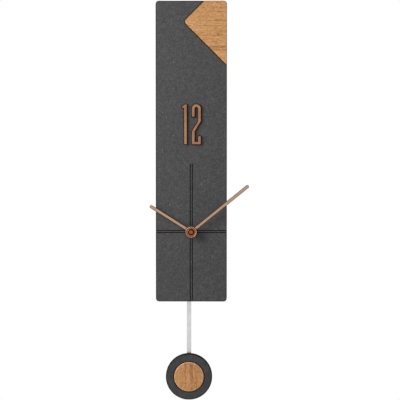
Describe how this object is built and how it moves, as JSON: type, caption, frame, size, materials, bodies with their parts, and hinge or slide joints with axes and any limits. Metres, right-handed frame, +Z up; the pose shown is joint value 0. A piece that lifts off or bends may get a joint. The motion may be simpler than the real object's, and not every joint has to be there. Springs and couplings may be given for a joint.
{
  "type": "pendulum wall clock",
  "caption": "Slim upright wall clock: dark board with an oak corner, raised numeral, two hands, quartz movement behind, and a round bob on a flat rod that swings below.",
  "frame": {"origin": "on the rear face of the hanger plate, in the wall plane, on the board's centre line just above the keyhole slot", "axes": "+X to the right seen from the front, +Y into the wall, +Z up"},
  "size_m": [0.1479, 0.0533, 0.5997],
  "materials": {
    "anthracite": "fine speckled matt laminate",
    "oak": "oiled oak, open grain",
    "copper": "satin copper plating",
    "rose_gold": "brushed rose gold anodising",
    "silver": "satin brushed",
    "frame_wood": "planed softwood",
    "steel": "zinc plated",
    "brass": "turned",
    "black_plastic": "moulded, fine texture",
    "white_plastic": "moulded",
    "rubber": "matt",
    "board_green": "solder mask",
    "winding": "enamelled copper wire",
    "magnet": "sintered, nickel plated",
    "cell_wrap": "printed wrap, plain bands"
  },
  "bodies": {
    "clock_case": {"front_panel": "anthracite", "oak_corner_inlay": "oak", "numeral_one": "copper", "numeral_two": "copper", "left_rail": "frame_wood", "right_rail": "frame_wood", "top_rail": "frame_wood", "hanger_plate": "steel", "hanger_screw_left": "steel", "hanger_screw_right": "steel", "rail_screw_1": "steel", "rail_screw_2": "steel", "rail_screw_3": "steel", "rail_screw_4": "steel", "wall_pad_left": "rubber", "wall_pad_right": "rubber", "movement_case": "black_plastic", "movement_cover": "black_plastic", "threaded_bush": "brass", "rubber_washer": "rubber", "brass_washer": "brass", "fixing_nut": "brass", "train_plate": "white_plastic", "stator_plate": "steel", "motor_coil": "winding", "circuit_board": "board_green", "timing_chip": "black_plastic", "quartz_crystal": "steel", "contact_negative": "steel", "contact_positive": "steel", "arm_axle": "steel", "drive_coil": "winding"},
    "battery": {"battery_cell": "cell_wrap"},
    "minute_assembly": {"minute_hand": "rose_gold", "hand_nut": "brass", "hand_cap": "copper", "centre_wheel": "brass"},
    "hour_assembly": {"hour_hand": "rose_gold", "hour_wheel": "white_plastic"},
    "minute_work": {"minute_work_wheel": "white_plastic", "setting_knob": "white_plastic"},
    "third": {"third_wheel": "brass"},
    "seconds": {"seconds_wheel": "white_plastic"},
    "intermediate": {"intermediate_wheel": "white_plastic"},
    "rotor": {"rotor_pinion": "white_plastic", "rotor_magnet": "magnet"},
    "pendulum": {"pendulum_arm": "white_plastic", "arm_magnet": "magnet", "pendulum_rod": "silver", "pendulum_bob": "anthracite", "bob_oak_disc": "oak", "bob_clip": "steel", "bob_screw_left": "steel", "bob_screw_right": "steel"}
  },
  "joints": [
    {"name": "minute_hand_turn", "type": "hinge", "parent": "clock_case", "child": "minute_assembly", "pos_m": [0, -0.02, -0.3155], "axis": [0, 1, 0], "continuous": true},
    {"name": "hour_hand_turn", "type": "hinge", "parent": "clock_case", "child": "hour_assembly", "pos_m": [0, -0.02, -0.3155], "axis": [0, 1, 0], "continuous": true},
    {"name": "setting_knob_turn", "type": "hinge", "parent": "clock_case", "child": "minute_work", "pos_m": [-0.00866, -0.02, -0.3105], "axis": [0, 1, 0], "continuous": true},
    {"name": "third_wheel_turn", "type": "hinge", "parent": "clock_case", "child": "third", "pos_m": [0.00779, -0.02, -0.311], "axis": [0, 1, 0], "continuous": true},
    {"name": "seconds_wheel_turn", "type": "hinge", "parent": "clock_case", "child": "seconds", "pos_m": [0, -0.02, -0.3155], "axis": [0, 1, 0], "continuous": true},
    {"name": "intermediate_wheel_turn", "type": "hinge", "parent": "clock_case", "child": "intermediate", "pos_m": [0, -0.02, -0.3101], "axis": [0, 1, 0], "continuous": true},
    {"name": "rotor_turn", "type": "hinge", "parent": "clock_case", "child": "rotor", "pos_m": [-0.00371, -0.02, -0.30639], "axis": [0, 1, 0], "continuous": true},
    {"name": "pendulum_swing", "type": "hinge", "parent": "clock_case", "child": "pendulum", "pos_m": [-0.0038, -0.02, -0.3495], "axis": [0, 1, 0], "range_deg": [-8, 8]},
    {"name": "battery_slide", "type": "slide", "parent": "clock_case", "child": "battery", "axis": [0, 1, 0], "range_m": [0, 0.02]}
  ],
  "couplings": [
    {"joint": "hour_hand_turn", "follows": "minute_hand_turn", "ratio": 0.083333},
    {"joint": "setting_knob_turn", "follows": "minute_hand_turn", "ratio": -0.33333},
    {"joint": "third_wheel_turn", "follows": "minute_hand_turn", "ratio": -8},
    {"joint": "seconds_wheel_turn", "follows": "minute_hand_turn", "ratio": 60},
    {"joint": "intermediate_wheel_turn", "follows": "minute_hand_turn", "ratio": -300},
    {"joint": "rotor_turn", "follows": "minute_hand_turn", "ratio": 1800}
  ]
}
